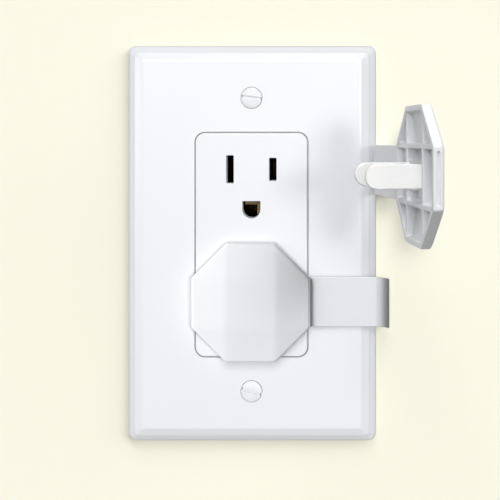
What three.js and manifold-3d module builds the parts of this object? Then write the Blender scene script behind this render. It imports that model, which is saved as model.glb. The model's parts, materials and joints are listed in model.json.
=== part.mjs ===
// A single-gang wall outlet fitted with two tethered safety caps.
//
// The outlet is a wall plate over a duplex receptacle. Each cap is an octagonal cover with two
// plastic prongs. A flat strap joins it to a hook that wraps round the plate's right edge and is
// held behind it. The lower cap is plugged in. The upper cap hangs open on its strap.
//
// Millimetres. +Z is up, +X is to the right as seen from the room, and +Y points into the wall.
// The origin is the middle of the plate's bottom rim, on the surface of the wall. The pieces are
// built about the centre of the plate, and the assembly is raised to that origin at the end.

import * as THREE from "three";
import { ConvexGeometry } from "three/addons/geometries/ConvexGeometry.js";
import { mergeVertices } from "three/addons/utils/BufferGeometryUtils.js";
import Module from "manifold-3d";

const wasm = await Module();
wasm.setup();

// ---------------------------------------------------------------- driving dimensions

const FIT = 0.3; // gap left between pieces that are assembled into one another

const PLATE = { width: 74.7, height: 119.1, depth: 5.2, corner: 2.4 };
const PLATE_RIM = 1.8; // thickness of the plate's rim, where it meets the wall
const PLATE_EDGE = [
  // the plate's rolled edge: [inset from the side, height off the wall]
  [0, 1.2],
  [0.9, 2.9],
  [2.6, 4.2],
  [4.85, PLATE.depth],
];
const PLATE_HOLLOW = [
  // the hollow behind the plate, in the same terms
  [PLATE_RIM, 1.3],
  [2.9, 2.4],
  [5.2, 3.2],
];

const FACE = { width: 33.2, height: 66.4, corner: 2.8, proud: 0.7 }; // receptacle face
const FACE_Y = -(PLATE.depth + FACE.proud);

const BLADE_PITCH = 12.7; // between the two blade slots of a socket
const SOCKET_PITCH = 39.1; // between the two sockets
const UPPER_Z = 22.4; // height of the upper socket's blade line
const LOWER_Z = UPPER_Z - SOCKET_PITCH;
const GROUND_DROP = 11.9; // from the blade line down to the ground hole
const SLOT = { width: 2.2, neutral: 8.3, hot: 6.8 }; // blade slots: their width and two lengths
const GROUND_HOLE = { radius: 2.65, flat: 2.45 }; // round below, cut flat this far above its centre

const PLATE_SCREW_Z = 87.3 / 2; // the two plate screws are 87.3 mm apart
const BOX_HOLE = { z: 48.4, radius: 1.5 }; // holes in the yoke for the screws into the wall box
const YOKE = { length: 104.8, width: 24, earWidth: 31, earLength: 14, thick: 1.2 };
const YOKE_TAB = { bottom: -46, top: -38, back: 10 }; // bent back to take the ground terminal
const BODY = { width: 33.2, height: 66.4, depth: 22 }; // receptacle body behind the yoke

const BRASS = 0.7; // thickness of the contact strips
const CLIP = { gap: 2.1, half: 3.3, front: 1.5, back: 14 }; // a blade contact's two sprung leaves
const GROUND_STRIP = { half: 3.3, front: 1.5, back: 13, clip: 2.4, cheek: 4.8 };
const GROUND_FOOT = { front: 0.3, drop: 3.2, rise: 1.2, width: 2.8 }; // rests on the yoke
const TERMINAL = { z: 9, y: 8, half: 4, front: 4.5 }; // terminal plates, above and below the centre
const TERMINAL_SCREW = { shank: 1.75, head: 3.9, headBase: 0.1, headTop: 1.9, reach: 7 };
const GROUND_SCREW = { y: 5.5, z: -42, reach: 5 };
const CLAMP = { half: 3.6, thick: 1, out: 1.4 }; // the square plate under a terminal screw
const RIVET = { x: 14.2, z: 30.3, radius: 1.2, headRadius: 2.1, front: -3.3 };
const TAPPED = TERMINAL_SCREW.shank + FIT / 2; // radius of a hole that takes a terminal screw

const CAP = { across: 34.9, side: 14.6, wall: 1.5, rim: 2.7, dome: 1.5, skin: 1.3 };
const CAP_RIB = 1.2; // thickness of the ribs inside the cap
const RIB_DROP = 0.25; // how far the ribs stop short of the cap's rim
const CAP_BACK_Y = FACE_Y - 0.1; // the plugged cap's rim, just off the receptacle face
const PRONG = { width: 6.0, thick: 1.5, length: 13.5, root: 2.4 };

const STRAP = { width: 14.6, thick: 0.9 };
const HOOK = { outer: 3.4, run: 0.6, tail: 5.4, barWidth: 20, barThick: 1.6, barLength: 2.8 };
const HINGE_GAP = 0.3; // half the gap at the living hinge between hook and strap
const NECK_GAP = 0.75; // gap at the living hinge between strap and cap
const OPEN_SWING = THREE.MathUtils.degToRad(102.5); // how far the upper strap is swung open
const OPEN_BEND = THREE.MathUtils.degToRad(-5); // how far the upper cap is bent back on its strap

// ---------------------------------------------------------------- derived positions

// The strap's hinge line lies on its front skin, just inside the edge of the plate. The hook runs on
// flat past it for a short way before it turns back round the edge.
const HINGE_X = PLATE.width / 2 - 0.2;
const HINGE_Y = CAP_BACK_Y - STRAP.thick;
const BEND_Y = HINGE_Y + HOOK.outer; // centre of the hook's bend
const TAIL_BACK_Y = BEND_Y + HOOK.outer; // back surface of the hook's tail, just off the wall

const X = new THREE.Vector3(1, 0, 0);
const Y = new THREE.Vector3(0, 1, 0);
const Z = new THREE.Vector3(0, 0, 1);

// ---------------------------------------------------------------- materials

const plastic = (color, roughness) => new THREE.MeshStandardMaterial({ color, roughness, metalness: 0 });
const metal = (color, roughness) => new THREE.MeshStandardMaterial({ color, roughness, metalness: 1 });

const MATERIAL = {
  plate: plastic(0xf3f4f8, 0.3),
  face: plastic(0xf3f4f8, 0.35),
  body: plastic(0x2c2b2b, 0.6),
  cap: plastic(0xe9eaee, 0.35),
  strap: plastic(0xe6e7eb, 0.4),
  prong: plastic(0xf6f6f6, 0.35),
  paintedScrew: plastic(0xf0f1f4, 0.3),
  steel: metal(0xb9bcc0, 0.45),
  brass: metal(0xc9a24f, 0.35),
  nickel: metal(0xd2d2d0, 0.3),
  green: metal(0x3f8f57, 0.4),
};

// ---------------------------------------------------------------- shape helpers

/** A closed three.js geometry as a manifold-3d solid. */
function solid(geometry) {
  const bare = geometry.index ? geometry.toNonIndexed() : geometry.clone();
  bare.deleteAttribute("normal");
  bare.deleteAttribute("uv");
  const merged = mergeVertices(bare, 1e-4);
  return new wasm.Manifold(
    new wasm.Mesh({
      numProp: 3,
      vertProperties: merged.attributes.position.array,
      triVerts: new Uint32Array(merged.index.array),
    }),
  );
}

/** A box between two opposite corners. */
function box([x0, y0, z0], [x1, y1, z1]) {
  const geometry = new THREE.BoxGeometry(x1 - x0, y1 - y0, z1 - z0);
  return solid(geometry.translate((x0 + x1) / 2, (y0 + y1) / 2, (z0 + z1) / 2));
}

/** A turned solid about the Y axis, from [radius, y] pairs that run from low y to high y. */
function turned(profile, segments = 24) {
  const points = profile.map(([radius, y]) => new THREE.Vector2(radius, y));
  return solid(new THREE.LatheGeometry(points, segments));
}

/** A round rod about the Y axis. */
const rod = (radius, y0, y1, segments = 24) =>
  turned([[0, y0], [radius, y0], [radius, y1], [0, y1]], segments);

/** The outline through the given corners. */
const polygon = (corners) => new THREE.Shape(corners.map(([x, y]) => new THREE.Vector2(x, y)));

/** The outline of a rectangle with rounded corners, centred on the origin. */
function roundedRectangle(width, height, radius) {
  const shape = new THREE.Shape();
  const [w, h] = [width / 2 - radius, height / 2 - radius];
  shape.absarc(w, h, radius, 0, Math.PI / 2);
  shape.absarc(-w, h, radius, Math.PI / 2, Math.PI);
  shape.absarc(-w, -h, radius, Math.PI, (3 * Math.PI) / 2);
  shape.absarc(w, -h, radius, (3 * Math.PI) / 2, 2 * Math.PI);
  return shape;
}

/** An outline drawn in X and Z, extruded between two Y values. */
function alongY(shape, yFront, yBack, curveSegments = 5) {
  const options = { depth: yBack - yFront, bevelEnabled: false, curveSegments };
  const geometry = new THREE.ExtrudeGeometry(shape, options);
  geometry.applyMatrix4(new THREE.Matrix4().makeBasis(X, Z, Y.clone().negate()));
  return solid(geometry.translate(0, yBack, 0));
}

/** An outline drawn in X and Y, extruded along Z and centred on z = 0. */
function alongZ(shape, length, curveSegments = 12) {
  const options = { depth: length, bevelEnabled: false, curveSegments };
  return solid(new THREE.ExtrudeGeometry(shape, options).translate(0, 0, -length / 2));
}

/** An outline drawn in Y and Z, extruded along X and centred on x = 0. */
function alongX(shape, length, curveSegments = 12) {
  const options = { depth: length, bevelEnabled: false, curveSegments };
  const geometry = new THREE.ExtrudeGeometry(shape, options).translate(0, 0, -length / 2);
  return solid(geometry.applyMatrix4(new THREE.Matrix4().makeBasis(Y, Z, X)));
}

/** The convex solid through stacked outlines, each [shape in X and Z, y]. */
function convexStack(...levels) {
  const points = levels.flatMap(([shape, y]) => shape.getPoints(5).map((p) => new THREE.Vector3(p.x, y, p.y)));
  return solid(new ConvexGeometry(points));
}

const union = (first, ...rest) => rest.reduce((whole, next) => whole.add(next), first);
const cut = (first, ...rest) => rest.reduce((whole, next) => whole.subtract(next), first);

/** A named mesh made from a solid. */
function piece(name, shape, material) {
  const { vertProperties, triVerts, numProp } = shape.getMesh();
  const geometry = new THREE.BufferGeometry();
  const interleaved = new THREE.InterleavedBuffer(new Float32Array(vertProperties), numProp);
  geometry.setAttribute("position", new THREE.InterleavedBufferAttribute(interleaved, 3, 0));
  geometry.setIndex(new THREE.BufferAttribute(new Uint32Array(triVerts), 1));
  const mesh = new THREE.Mesh(geometry.toNonIndexed(), material);
  mesh.geometry.computeVertexNormals();
  mesh.name = name;
  return mesh;
}

// ---------------------------------------------------------------- wall plate and its screws

const SCREW_HEAD = { radius: 3.15, cone: 1.8, crown: 0.6, shank: 1.65, tip: 24 };

/** A symmetric section, as wide as both halves, under an edge given as [inset, height off the wall]. */
function plateSection(half, edge) {
  const right = [[half - edge[0][0], 1], ...edge.map(([inset, height]) => [half - inset, -height])];
  return polygon([...right, ...right.map(([x, y]) => [-x, y]).reverse()]);
}

/** The solid with that edge on all four sides, its corners mitred. */
function plateDome(edge) {
  const { width, height } = PLATE;
  const acrossWidth = alongZ(plateSection(width / 2, edge), height + 10);
  const acrossHeight = alongZ(plateSection(height / 2, edge), width + 10).rotate([0, 90, 0]);
  return acrossWidth.intersect(acrossHeight);
}

function wallPlate() {
  const { width, height, depth, corner } = PLATE;
  const outline = alongY(roundedRectangle(width, height, corner), -depth - 1, 0);
  const hollow = plateDome(PLATE_HOLLOW);
  const opening = roundedRectangle(FACE.width + 2 * FIT, FACE.height + 2 * FIT, FACE.corner + FIT);
  let plate = cut(outline.intersect(plateDome(PLATE_EDGE)), hollow, alongY(opening, -depth - 1, 1));

  const countersink = turned([
    [0, -depth - 1],
    [SCREW_HEAD.radius + FIT, -depth - 1],
    [SCREW_HEAD.radius + FIT, -depth],
    [SCREW_HEAD.shank + FIT, -depth + SCREW_HEAD.cone],
    [SCREW_HEAD.shank + FIT, 0],
    [0, 0],
  ]);
  for (const z of [PLATE_SCREW_Z, -PLATE_SCREW_Z]) plate = cut(plate, countersink.translate([0, 0, z]));

  // A shallow notch in the right rim lets each strap's tail pass under the plate.
  for (const z of [UPPER_Z, LOWER_Z]) {
    const half = STRAP.width / 2 + FIT;
    const top = TAIL_BACK_Y - STRAP.thick - FIT;
    plate = cut(plate, box([width / 2 - PLATE_RIM - 1, top, z - half], [width / 2 + 1, 1, z + half]));
  }
  return piece("wall_plate", plate, MATERIAL.plate);
}

/** A slotted oval-head screw, its slot turned by the given angle about the screw's axis. */
function plateScrew(name, z, slotAngle) {
  const { radius, cone, crown, shank, tip } = SCREW_HEAD;
  const seat = -PLATE.depth;
  const screw = turned([
    [0, seat - crown],
    [radius * 0.45, seat - crown * 0.86],
    [radius * 0.8, seat - crown * 0.4],
    [radius, seat],
    [shank, seat + cone],
    [shank, tip - 1],
    [shank * 0.6, tip],
    [0, tip],
  ]);
  const slot = box([-5, seat - 2, -0.5], [5, seat + 0.45, 0.5]).rotate([0, slotAngle, 0]);
  return piece(name, cut(screw, slot).translate([0, 0, z]), MATERIAL.paintedScrew);
}

// ---------------------------------------------------------------- receptacle

/** Where the four rivets stand, as [x, z]: upper left, upper right, lower left, lower right. */
const rivetPlaces = () => [1, -1].flatMap((v) => [-1, 1].map((h) => [h * RIVET.x, v * RIVET.z]));

/** The slots that one socket opens in the face: wide, narrow and the D-shaped ground hole. */
function socketHoles(z) {
  const [front, back] = [FACE_Y - 1, 1];
  const slot = (x, length) =>
    box([x - SLOT.width / 2, front, z - length / 2], [x + SLOT.width / 2, back, z + length / 2]);
  const { radius, flat } = GROUND_HOLE;
  const ground = new THREE.Shape();
  ground.moveTo(radius, flat);
  ground.lineTo(-radius, flat);
  ground.lineTo(-radius, 0);
  ground.absarc(0, 0, radius, Math.PI, 2 * Math.PI);
  const hole = alongY(ground, front, back, 12).translate([0, 0, z - GROUND_DROP]);
  return union(slot(-BLADE_PITCH / 2, SLOT.neutral), slot(BLADE_PITCH / 2, SLOT.hot), hole);
}

function receptacleFace() {
  const { width, height, corner } = FACE;
  const soft = 0.35;
  const block = convexStack(
    [roundedRectangle(width, height, corner), -YOKE.thick - 0.1],
    [roundedRectangle(width, height, corner), FACE_Y + soft],
    [roundedRectangle(width - 2 * soft, height - 2 * soft, corner - soft), FACE_Y],
  );
  const rivetHole = rod(RIVET.radius + FIT, RIVET.front - FIT, 1, 16);
  const rivetHoles = rivetPlaces().map(([x, z]) => rivetHole.translate([x, 0, z]));
  const face = cut(block, socketHoles(UPPER_Z), socketHoles(LOWER_Z), ...rivetHoles);
  return piece("receptacle_face", face, MATERIAL.face);
}

/** The steel strap that carries the receptacle and is screwed to the wall box. */
function mountingYoke() {
  const { length, width, earWidth, earLength, thick } = YOKE;
  const strip = alongY(roundedRectangle(width, length, 2), -thick, 0);
  const ears = [1, -1].map((end) =>
    alongY(roundedRectangle(earWidth, earLength, 3), -thick, 0).translate([0, 0, (end * (length - earLength)) / 2]),
  );
  let yoke = union(strip, ...ears);

  for (const end of [1, -1]) {
    const slot = alongY(roundedRectangle(6.6, 4.2, 2.05), -5, 5).translate([0, 0, end * PLATE_SCREW_Z]);
    const boxHole = rod(BOX_HOLE.radius, -5, 5, 16).translate([0, 0, end * BOX_HOLE.z]);
    yoke = cut(yoke, slot, boxHole);
  }
  for (const z of [UPPER_Z, LOWER_Z]) {
    const blades = box([-10, -5, z - 5], [10, 5, z + 5]);
    const ground = box([-4, -5, z - GROUND_DROP - 3.6], [4, 5, z - GROUND_DROP + 3.6]);
    yoke = cut(yoke, blades, ground);
  }

  // A tab bent back beside the lower screw takes the ground terminal.
  const { bottom, top, back } = YOKE_TAB;
  const tab = box([-width / 2, -thick, bottom], [-width / 2 + thick, back, top]);
  const tapped = rod(TAPPED, -5, 5, 16).rotate([0, 0, 90]);
  const place = [-width / 2, GROUND_SCREW.y, GROUND_SCREW.z];
  return piece("mounting_yoke", cut(union(yoke, tab), tapped.translate(place)), MATERIAL.steel);
}

/** A box between two X values given in either order. */
function span(xa, xb, [y0, y1], [z0, z1]) {
  return box([Math.min(xa, xb), y0, z0], [Math.max(xa, xb), y1, z1]);
}

/** One side's brass strip: a clip for each socket, a spine between them and a plate at the terminals. */
function contactBus(name, side) {
  const x = (side * BLADE_PITCH) / 2;
  const half = CLIP.gap / 2 + BRASS;
  const strip = [CLIP.back - BRASS, CLIP.back]; // the flat back that joins everything
  const plateX = side * (BODY.width / 2 - 1.9);
  const terminals = [-TERMINAL.z - TERMINAL.half, TERMINAL.z + TERMINAL.half];

  let bus = union(
    span(x - side * 0.6, x + side * half, strip, [LOWER_Z, UPPER_Z]),
    span(x, plateX, strip, terminals),
    span(plateX, plateX - side * BRASS, [TERMINAL.front, CLIP.back], terminals),
  );
  for (const z of [UPPER_Z, LOWER_Z]) {
    const tall = [z - CLIP.half, z + CLIP.half];
    bus = union(bus, span(x - half, x + half, strip, tall));
    for (const leaf of [1, -1]) {
      bus = union(bus, span(x + (leaf * CLIP.gap) / 2, x + leaf * half, [CLIP.front, CLIP.back], tall));
    }
  }
  for (const z of [TERMINAL.z, -TERMINAL.z]) {
    bus = cut(bus, rod(TAPPED, -3, 3, 16).rotate([0, 0, 90]).translate([plateX, TERMINAL.y, z]));
  }
  // The notch between the terminals leaves the narrow bridge that is snapped off to split the sockets.
  const notch = span(plateX * 0.7, plateX * 1.1, [3, 11], [-2.5, 2.5]);
  return piece(name, cut(bus, notch), MATERIAL.brass);
}

/** The ground strip: a clip for each ground hole, joined by a spine and footed on the yoke. */
function groundStrap() {
  const { half, front, back, clip, cheek } = GROUND_STRIP;
  const top = UPPER_Z - GROUND_DROP + clip;
  const bottom = LOWER_Z - GROUND_DROP - clip;
  const channel = cut(
    box([-half, front, bottom], [half, back, top]),
    box([-half + BRASS, 0, bottom - 1], [half - BRASS, back - BRASS, top + 1]),
    box([-half - 1, 0, bottom + cheek], [half + 1, back - BRASS - FIT, top - cheek]),
  );
  const foot = polygon([
    [GROUND_FOOT.front, -GROUND_FOOT.drop],
    [GROUND_FOOT.front + BRASS, -GROUND_FOOT.drop],
    [GROUND_FOOT.front + BRASS, GROUND_FOOT.rise],
    [back - 0.2, GROUND_FOOT.rise],
    [back - 0.2, GROUND_FOOT.rise + BRASS],
    [GROUND_FOOT.front, GROUND_FOOT.rise + BRASS],
  ]);
  return piece("ground_contact_strap", union(channel, alongX(foot, GROUND_FOOT.width)), MATERIAL.brass);
}

/** The moulded body behind the yoke, with a chamber for each contact and a recess for each terminal. */
function receptacleBody() {
  const { width, height, depth } = BODY;
  const edge = width / 2;
  let body = alongY(roundedRectangle(width, height, 1.5), -YOKE.thick - 0.1 + FIT, depth);
  body = cut(body, box([-YOKE.width / 2 - FIT, -5, -40], [YOKE.width / 2 + FIT, 0.1, 40]));

  const floor = CLIP.back + 0.4;
  const behindClips = [CLIP.back - BRASS - FIT, floor];
  const terminals = [-TERMINAL.z - TERMINAL.half - 0.4, TERMINAL.z + TERMINAL.half + 0.4];
  for (const side of [1, -1]) {
    const near = side * (BLADE_PITCH / 2 - 2.1);
    const far = side * (BLADE_PITCH / 2 + 2.1);
    const spine = near + side * 1.2;
    body = cut(
      body,
      span(near, far, [-1, floor], [UPPER_Z - 5, UPPER_Z + 5]),
      span(near, far, [-1, floor], [LOWER_Z - 5, LOWER_Z + 5]),
      span(spine, far, behindClips, [LOWER_Z, UPPER_Z]),
      span(spine, side * (edge - 1.5), behindClips, terminals),
      span(side * (edge - 3), side * (edge + 1), [3.5, floor], terminals),
    );
    for (const z of [TERMINAL.z, -TERMINAL.z]) {
      const screwTip = rod(2.1, -9.5, 0, 16).rotate([0, 0, -90 * side]);
      body = cut(body, screwTip.translate([side * edge, TERMINAL.y, z]));
    }
  }

  const groundHalf = GROUND_STRIP.half + FIT;
  const groundBack = GROUND_STRIP.back + 0.4;
  const [upper, lower] = [UPPER_Z - GROUND_DROP, LOWER_Z - GROUND_DROP];
  body = cut(
    body,
    box([-groundHalf, -1, upper - 3], [groundHalf, groundBack, upper + 3]),
    box([-groundHalf, -1, lower - 3], [groundHalf, groundBack, lower + 3]),
    box([-groundHalf, GROUND_STRIP.back - BRASS - FIT, lower], [groundHalf, groundBack, upper]),
    box([-1.8, -1, -3.6], [1.8, groundBack, 2.4]),
  );
  for (const [x, z] of rivetPlaces()) {
    body = cut(body, rod(RIVET.radius + FIT, -5, depth + 1, 16).translate([x, 0, z]));
  }
  return piece("receptacle_body", body, MATERIAL.body);
}

/** A rivet that clamps face, yoke and body together, headed behind the body. */
function assemblyRivet(name, x, z) {
  const { radius, headRadius, front } = RIVET;
  const seat = BODY.depth + 0.1;
  const profile = [
    [0, front],
    [radius, front],
    [radius, seat],
    [headRadius, seat],
    [headRadius * 0.7, seat + 0.9],
    [0, seat + 1],
  ];
  const rivet = turned(profile, 16);
  return piece(name, rivet.translate([x, 0, z]), MATERIAL.steel);
}

/** A slotted terminal screw, its head out to the side: side 1 is the right, -1 the left. */
function terminalScrew(name, side, [x, y, z], material, reach = TERMINAL_SCREW.reach) {
  const { shank, head, headBase, headTop } = TERMINAL_SCREW;
  const screw = turned([
    [0, -reach],
    [shank, -reach],
    [shank, headBase],
    [head, headBase],
    [head, headTop - 0.4],
    [head - 0.7, headTop],
    [0, headTop],
  ]);
  const slot = box([-5, headTop - 0.8, -0.5], [5, headTop + 1, 0.5]).rotate([0, 25, 0]);
  return piece(name, cut(screw, slot).rotate([0, 0, -90 * side]).translate([x, y, z]), material);
}

/** The square plate that a terminal screw presses onto the wire. */
function wireClamp(name, side, z) {
  const { half, thick, out } = CLAMP;
  const x = side * (BODY.width / 2 - out);
  const y = TERMINAL.y;
  const plate = box([x - thick / 2, y - half, z - half], [x + thick / 2, y + half, z + half]);
  const hole = rod(TAPPED, -3, 3, 16).rotate([0, 0, 90]).translate([x, y, z]);
  return piece(name, cut(plate, hole), MATERIAL.steel);
}

function receptacle() {
  const group = new THREE.Group();
  group.add(receptacleFace(), mountingYoke(), receptacleBody(), groundStrap());
  group.add(contactBus("hot_contact_bus", 1), contactBus("neutral_contact_bus", -1));

  const rivetNames = ["upper_left", "upper_right", "lower_left", "lower_right"];
  rivetPlaces().forEach(([x, z], i) => group.add(assemblyRivet(`assembly_rivet_${rivetNames[i]}`, x, z)));

  const sides = [
    ["hot", 1, MATERIAL.brass],
    ["neutral", -1, MATERIAL.nickel],
  ];
  for (const [line, side, finish] of sides) {
    for (const [level, z] of [["upper", TERMINAL.z], ["lower", -TERMINAL.z]]) {
      const seat = [side * (BODY.width / 2 - 0.7), TERMINAL.y, z];
      group.add(terminalScrew(`${line}_terminal_screw_${level}`, side, seat, finish));
      group.add(wireClamp(`${line}_wire_clamp_${level}`, side, z));
    }
  }
  const groundSeat = [-YOKE.width / 2 - 0.2, GROUND_SCREW.y, GROUND_SCREW.z];
  group.add(terminalScrew("ground_terminal_screw", -1, groundSeat, MATERIAL.green, GROUND_SCREW.reach));
  return group;
}

// ---------------------------------------------------------------- tethered caps

/** The cap's octagon, inset from its sides. */
function octagon(inset = 0) {
  const far = CAP.across / 2 - inset;
  const near = CAP.side / 2 - inset * Math.tan(Math.PI / 8);
  const half = [[far, -near], [far, near], [near, far], [-near, far]];
  return polygon([...half, ...half.map(([x, z]) => [-x, -z])]);
}

/** The flat square at the middle of the cap's front. */
function crownSquare() {
  const half = CAP.side / 2;
  return polygon([[half, -half], [half, half], [-half, half], [-half, -half]]);
}

/** The solid inside the cap's front, with its sides and front that far in from the outer surface. */
function capCore(inset, skin, back) {
  const { rim, dome } = CAP;
  return convexStack([octagon(inset), back], [octagon(inset), -rim + skin], [crownSquare(), -rim - dome + skin]);
}

/** The hollow octagonal cover, its rim at y = 0 and its front towards -Y. Ribs line up with its creases. */
function capShell(name) {
  const { wall, rim, dome, skin, side, across } = CAP;
  const edge = 0.5;
  const crown = [crownSquare(), -rim - dome];
  const outer = convexStack([octagon(), 0], [octagon(), -rim + edge], [octagon(edge), -rim], crown);
  const ribs = [1, -1].flatMap((end) => {
    const [a, b] = [(end * side) / 2 - CAP_RIB / 2, (end * side) / 2 + CAP_RIB / 2];
    return [
      box([a, -rim - dome, -across / 2], [b, -RIB_DROP, across / 2]),
      box([-across / 2, -rim - dome, a], [across / 2, -RIB_DROP, b]),
    ];
  });
  const ribbing = union(...ribs).intersect(capCore(wall / 2, skin / 2, 1));
  let shell = union(cut(outer, capCore(wall, skin, 1)), ribbing);

  // Each prong is pressed into a socket block between the ribs.
  for (const end of [1, -1]) {
    const x = (end * BLADE_PITCH) / 2;
    const near = x - end * 1.9;
    const far = x + end * 1.2;
    const [x0, x1] = [Math.min(near, far), Math.max(near, far)];
    const block = box([x0, -rim - 0.5, -PRONG.width / 2 - 1.1], [x1, -0.8, PRONG.width / 2 + 1.1]);
    const pocket = box(
      [x - PRONG.thick / 2 - FIT / 2, -PRONG.root - FIT / 2, -PRONG.width / 2 - FIT / 2],
      [x + PRONG.thick / 2 + FIT / 2, 1, PRONG.width / 2 + FIT / 2],
    );
    shell = cut(union(shell, block), pocket);
  }
  return piece(name, shell, MATERIAL.cap);
}

/** One prong with a full round end, its root inside the cap and its tip towards +Y. */
function capProng(name, x) {
  const { width, thick, length, root } = PRONG;
  const radius = width / 2;
  const outline = new THREE.Shape();
  outline.moveTo(-root, radius);
  outline.lineTo(-root, -radius);
  outline.lineTo(length - radius, -radius);
  outline.absarc(length - radius, 0, radius, -Math.PI / 2, Math.PI / 2);
  return piece(name, alongX(outline, thick, 16).translate([x, 0, 0]), MATERIAL.prong);
}

/** The fixed hook: a tail behind the plate, ending in a bar, and a half turn round the plate's edge. */
function strapHook(name, z) {
  const { outer, run, tail, barWidth, barThick, barLength } = HOOK;
  const inner = outer - STRAP.thick;
  const outline = new THREE.Shape();
  outline.moveTo(-tail, outer);
  outline.lineTo(-tail, inner);
  outline.absarc(run, 0, inner, Math.PI / 2, -Math.PI / 2, true);
  outline.lineTo(HINGE_GAP, -inner);
  outline.lineTo(HINGE_GAP, -outer);
  outline.absarc(run, 0, outer, -Math.PI / 2, Math.PI / 2, false);
  const band = alongZ(outline, STRAP.width);
  const bar = box([-tail, outer - barThick, -barWidth / 2], [-tail + barLength, outer, barWidth / 2]);
  return piece(name, union(band, bar).translate([HINGE_X, BEND_Y, z]), MATERIAL.strap);
}

/** The strap, in the frame of its hinge: it runs towards -X with its front skin at y = 0. */
function strap(name) {
  const end = CAP.across / 2 + NECK_GAP - HINGE_X;
  const band = box([end, 0, -STRAP.width / 2], [-HINGE_GAP, STRAP.thick, STRAP.width / 2]);
  return piece(name, band, MATERIAL.strap);
}

/** Hook, strap, cap and prongs of one tether, swung about its hinge line and bent at the cap. */
function tether(level, z, swing, bend) {
  const swinging = new THREE.Group();
  swinging.position.set(HINGE_X, HINGE_Y, z);
  swinging.rotation.z = swing;

  const neck = new THREE.Group();
  neck.position.set((CAP.across + NECK_GAP) / 2 - HINGE_X, STRAP.thick / 2, 0);
  neck.rotation.z = bend;

  const cap = new THREE.Group();
  cap.position.set(-(CAP.across + NECK_GAP) / 2, STRAP.thick / 2, 0);
  cap.add(
    capShell(`${level}_cap_shell`),
    capProng(`${level}_cap_prong_left`, -BLADE_PITCH / 2),
    capProng(`${level}_cap_prong_right`, BLADE_PITCH / 2),
  );
  neck.add(cap);
  swinging.add(strap(`${level}_strap`), neck);

  const group = new THREE.Group();
  group.add(strapHook(`${level}_strap_hook`, z), swinging);
  return group;
}

// ---------------------------------------------------------------- assembly

const outlet = new THREE.Group();
outlet.position.z = (PLATE.height - PLATE_RIM) / 2;
outlet.add(
  wallPlate(),
  plateScrew("plate_screw_upper", PLATE_SCREW_Z, 6),
  plateScrew("plate_screw_lower", -PLATE_SCREW_Z, 17),
  receptacle(),
  tether("upper", UPPER_Z, OPEN_SWING, OPEN_BEND),
  tether("lower", LOWER_Z, 0, 0),
);

export default outlet;
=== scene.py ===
"""Looks for a wall outlet with two tethered safety caps.

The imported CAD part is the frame. Every piece is modelled in millimetres and scaled to metres
when it is done. The lower cap is plugged in, and the upper cap hangs open on its strap.
"""

import json
import math

import bmesh
import bpy
from mathutils import Matrix, Vector


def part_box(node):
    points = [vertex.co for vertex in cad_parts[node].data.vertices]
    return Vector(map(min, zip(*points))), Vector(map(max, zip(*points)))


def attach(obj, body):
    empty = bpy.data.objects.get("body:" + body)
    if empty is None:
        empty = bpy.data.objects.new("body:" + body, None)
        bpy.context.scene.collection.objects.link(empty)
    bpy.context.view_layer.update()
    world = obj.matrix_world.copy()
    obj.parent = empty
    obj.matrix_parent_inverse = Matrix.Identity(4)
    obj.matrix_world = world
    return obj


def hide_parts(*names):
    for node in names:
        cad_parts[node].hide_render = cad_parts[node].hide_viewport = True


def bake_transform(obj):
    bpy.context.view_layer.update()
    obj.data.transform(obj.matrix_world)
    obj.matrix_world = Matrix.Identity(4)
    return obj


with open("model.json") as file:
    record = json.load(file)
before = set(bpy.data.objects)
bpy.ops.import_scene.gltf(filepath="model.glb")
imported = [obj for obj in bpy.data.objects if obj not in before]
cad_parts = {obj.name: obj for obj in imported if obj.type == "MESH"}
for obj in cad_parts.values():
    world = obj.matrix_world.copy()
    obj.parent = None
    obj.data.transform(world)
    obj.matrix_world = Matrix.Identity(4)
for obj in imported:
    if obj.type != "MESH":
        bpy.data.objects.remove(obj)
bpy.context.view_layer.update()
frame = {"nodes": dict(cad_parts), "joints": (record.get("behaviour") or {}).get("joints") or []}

# ---------------------------------------------------------------- driving dimensions (mm)

MM = 0.001

PLATE_CORNER = {"radius": 2.4, "taper": 0.42, "least": 0.35}  # it tightens as the edge rolls inwards
PLATE_EDGE = [  # the rolled edge: (inset from the side, height off the wall)
    (0.15, 0.0), (0.0, 0.25), (0.0, 1.25), (0.06, 1.7), (0.24, 2.12), (0.55, 2.5), (1.0, 2.88),
    (1.55, 3.27), (1.95, 3.55), (2.1, 3.72), (2.2, 3.86), (2.4, 3.98), (2.9, 4.22), (3.5, 4.5),
    (3.95, 4.72), (4.3, 4.92), (4.6, 5.06), (4.9, 5.15), (5.3, 5.2),
]
PLATE_HOLLOW = [(1.8, 0.0), (1.8, 1.3), (2.9, 2.4), (5.2, 3.2)]  # the hollow behind, likewise
HOLLOW_CORNER = 1.4
OPENING = {"lip": 0.18, "depth": 2.0}
STRAP_NOTCH = {"reach": 2.8, "clear": 0.3, "above": 0.4, "edge": 0.25}  # in the plate's right rim

FACE_CORNER = 2.8
FACE_ROUND = 0.5  # of its front edge
FACE_GAP = 0.3  # between the receptacle's face and the plate
FACE_SKIRT = {"depth": 0.7, "clear": 0.04}  # the wider part of the face, just below the plate's front
BLADE_SLOT = {"width": 2.2, "corner": 0.3, "lip": 0.16}
BLADE_SLOT_LENGTHS = {-1: 8.3, 1: 6.8}  # neutral on the left, hot on the right
BLADE_PITCH = 12.7
GROUND_HOLE = {"radius": 2.65, "top": 2.45, "corner": 0.12, "lip": 0.2}
GROUND_DROP = 11.9  # from the blade line down to the ground hole
GROUND_LIPS = [(-1.9, 1.6, -4.2, 0.9), (1.65, 2.4, -3.6, 3.9)]  # (left, right, front, height)
GROUND_LIP = {"top": 2.3, "back": 1.8, "edge": 0.15}

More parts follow.
